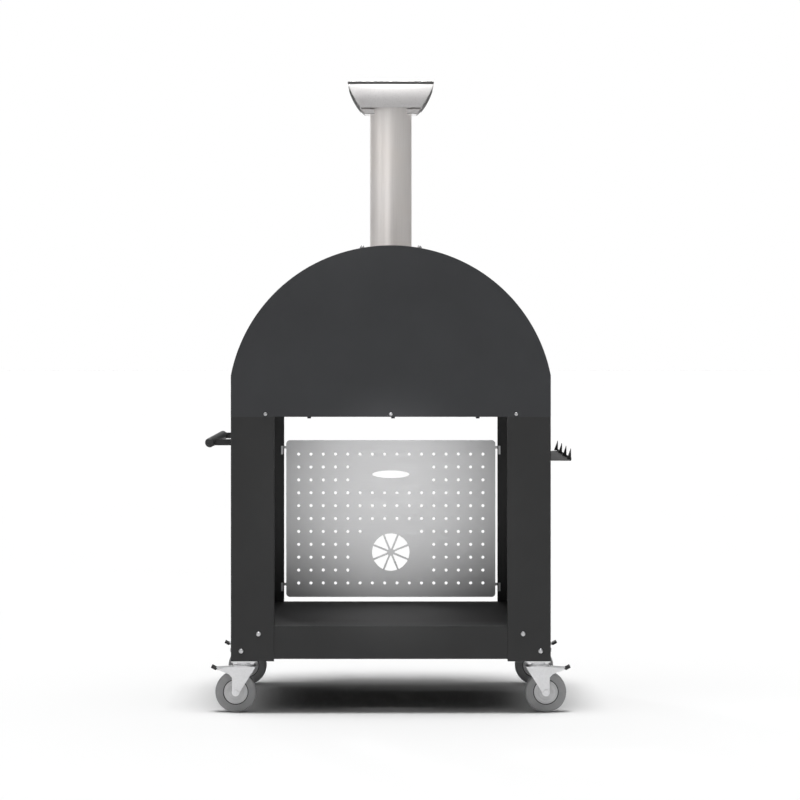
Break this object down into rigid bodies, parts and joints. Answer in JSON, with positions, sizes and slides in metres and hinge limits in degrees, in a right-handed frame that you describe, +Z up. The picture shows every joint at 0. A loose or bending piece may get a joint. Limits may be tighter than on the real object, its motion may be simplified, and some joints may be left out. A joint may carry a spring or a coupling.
{
  "type": "wood fired pizza oven",
  "caption": "Arched sheet-metal pizza oven with a flue and cowl, on an open wheeled base with a shelf, a perforated tool board, a push handle and a hook rail.",
  "frame": {"origin": "on the floor, at the middle of the object's overall width and length", "axes": "+Z up; -Y is the side with the mouth and the landing plate, +Y the plain back panel; +X the side with the push handle"},
  "size_m": [1.1154, 0.8536, 1.962],
  "materials": {
    "powder_coat": "matte",
    "handle_black": "satin",
    "bright_fastener": "satin",
    "dark_fastener": "satin",
    "zinc_plate": "satin",
    "brushed_stainless": "satin",
    "satin_stainless": "satin",
    "polished_stainless": "polished",
    "chamber_steel": "satin",
    "ceramic_fibre": "matte",
    "insulation_board": "matte",
    "refractory": "matte",
    "wheel_plastic": "matte",
    "grey_rubber": "matte",
    "dial_face": "matte",
    "needle_paint": "satin",
    "dial_glass": "gloss"
  },
  "bodies": {
    "base": {"leg_back_handle_side": "powder_coat", "leg_front_handle_side": "powder_coat", "leg_back_rail_side": "powder_coat", "leg_front_rail_side": "powder_coat", "shelf_pan": "powder_coat", "leg_foot_plates": "powder_coat", "frame_bolts": "bright_fastener", "caster_bolts": "zinc_plate", "caster_top_plates": "zinc_plate", "push_handle_grip": "handle_black", "push_handle_arms": "handle_black", "side_fitting_screws": "dark_fastener", "tool_rail": "handle_black", "oven_tray": "powder_coat", "tray_bolts": "dark_fastener", "back_panel": "powder_coat", "front_panel": "powder_coat", "end_panel_screws": "bright_fastener", "outer_shell": "powder_coat", "insulation_blanket": "ceramic_fibre", "inner_vault": "chamber_steel", "floor_insulation": "insulation_board", "floor_tiles": "refractory", "mouth_throat": "satin_stainless", "hearth_lip": "satin_stainless", "flue_collar": "satin_stainless", "flange_bolts": "bright_fastener", "flue_pipe": "satin_stainless", "cowl_trough": "polished_stainless", "cowl_walls": "polished_stainless", "cowl_cap": "polished_stainless", "thermometer_case": "polished_stainless", "thermometer_dial": "dial_face", "thermometer_glass": "dial_glass"},
    "pegboard": {"pegboard": "brushed_stainless", "pegboard_tabs": "brushed_stainless"},
    "door": {"door_panel": "satin_stainless", "door_insulation": "ceramic_fibre", "door_handle": "handle_black"},
    "thermometer_needle": {"thermometer_needle": "needle_paint"},
    "swivel_back_handle_side": {"caster_fork_back_handle_side": "zinc_plate", "caster_axle_back_handle_side": "zinc_plate"},
    "wheel_back_handle_side": {"wheel_core_back_handle_side": "wheel_plastic", "tyre_back_handle_side": "grey_rubber"},
    "pedal_back_handle_side": {"brake_pedal_back_handle_side": "zinc_plate"},
    "swivel_front_handle_side": {"caster_fork_front_handle_side": "zinc_plate", "caster_axle_front_handle_side": "zinc_plate"},
    "wheel_front_handle_side": {"wheel_core_front_handle_side": "wheel_plastic", "tyre_front_handle_side": "grey_rubber"},
    "pedal_front_handle_side": {"brake_pedal_front_handle_side": "zinc_plate"},
    "swivel_back_rail_side": {"caster_fork_back_rail_side": "zinc_plate", "caster_axle_back_rail_side": "zinc_plate"},
    "wheel_back_rail_side": {"wheel_core_back_rail_side": "wheel_plastic", "tyre_back_rail_side": "grey_rubber"},
    "pedal_back_rail_side": {"brake_pedal_back_rail_side": "zinc_plate"},
    "swivel_front_rail_side": {"caster_fork_front_rail_side": "zinc_plate", "caster_axle_front_rail_side": "zinc_plate"},
    "wheel_front_rail_side": {"wheel_core_front_rail_side": "wheel_plastic", "tyre_front_rail_side": "grey_rubber"},
    "pedal_front_rail_side": {"brake_pedal_front_rail_side": "zinc_plate"}
  },
  "joints": [
    {"name": "pegboard_lift", "type": "slide", "parent": "base", "child": "pegboard", "axis": [0, 0, 1], "range_m": [0, 0.021]},
    {"name": "door_lift_off", "type": "slide", "parent": "base", "child": "door", "axis": [0, -1, 0], "range_m": [0, 0.3]},
    {"name": "thermometer_pointer", "type": "hinge", "parent": "base", "child": "thermometer_needle", "pos_m": [0.335, -0.331, 1.15], "axis": [0, 1, 0], "range_deg": [0, 270]},
    {"name": "swivel_back_handle_side", "type": "hinge", "parent": "base", "child": "swivel_back_handle_side", "pos_m": [0.4465, 0.375, 0.138], "axis": [0, 0, 1], "continuous": true},
    {"name": "wheel_spin_back_handle_side", "type": "hinge", "parent": "swivel_back_handle_side", "child": "wheel_back_handle_side", "pos_m": [0.472, 0.375, 0.0625], "axis": [0, 1, 0], "continuous": true},
    {"name": "brake_back_handle_side", "type": "hinge", "parent": "swivel_back_handle_side", "child": "pedal_back_handle_side", "pos_m": [0.4325, 0.375, 0.13], "axis": [0, 1, 0], "range_deg": [0, 7]},
    {"name": "swivel_front_handle_side", "type": "hinge", "parent": "base", "child": "swivel_front_handle_side", "pos_m": [0.4465, -0.275, 0.138], "axis": [0, 0, 1], "continuous": true},
    {"name": "wheel_spin_front_handle_side", "type": "hinge", "parent": "swivel_front_handle_side", "child": "wheel_front_handle_side", "pos_m": [0.472, -0.275, 0.0625], "axis": [0, 1, 0], "continuous": true},
    {"name": "brake_front_handle_side", "type": "hinge", "parent": "swivel_front_handle_side", "child": "pedal_front_handle_side", "pos_m": [0.4325, -0.275, 0.13], "axis": [0, 1, 0], "range_deg": [0, 7]},
    {"name": "swivel_back_rail_side", "type": "hinge", "parent": "base", "child": "swivel_back_rail_side", "pos_m": [-0.4465, 0.375, 0.138], "axis": [0, 0, 1], "continuous": true},
    {"name": "wheel_spin_back_rail_side", "type": "hinge", "parent": "swivel_back_rail_side", "child": "wheel_back_rail_side", "pos_m": [-0.472, 0.375, 0.0625], "axis": [0, 1, 0], "continuous": true},
    {"name": "brake_back_rail_side", "type": "hinge", "parent": "swivel_back_rail_side", "child": "pedal_back_rail_side", "pos_m": [-0.4325, 0.375, 0.13], "axis": [0, -1, 0], "range_deg": [0, 7]},
    {"name": "swivel_front_rail_side", "type": "hinge", "parent": "base", "child": "swivel_front_rail_side", "pos_m": [-0.4465, -0.275, 0.138], "axis": [0, 0, 1], "continuous": true},
    {"name": "wheel_spin_front_rail_side", "type": "hinge", "parent": "swivel_front_rail_side", "child": "wheel_front_rail_side", "pos_m": [-0.472, -0.275, 0.0625], "axis": [0, 1, 0], "continuous": true},
    {"name": "brake_front_rail_side", "type": "hinge", "parent": "swivel_front_rail_side", "child": "pedal_front_rail_side", "pos_m": [-0.4325, -0.275, 0.13], "axis": [0, -1, 0], "range_deg": [0, 7]}
  ]
}
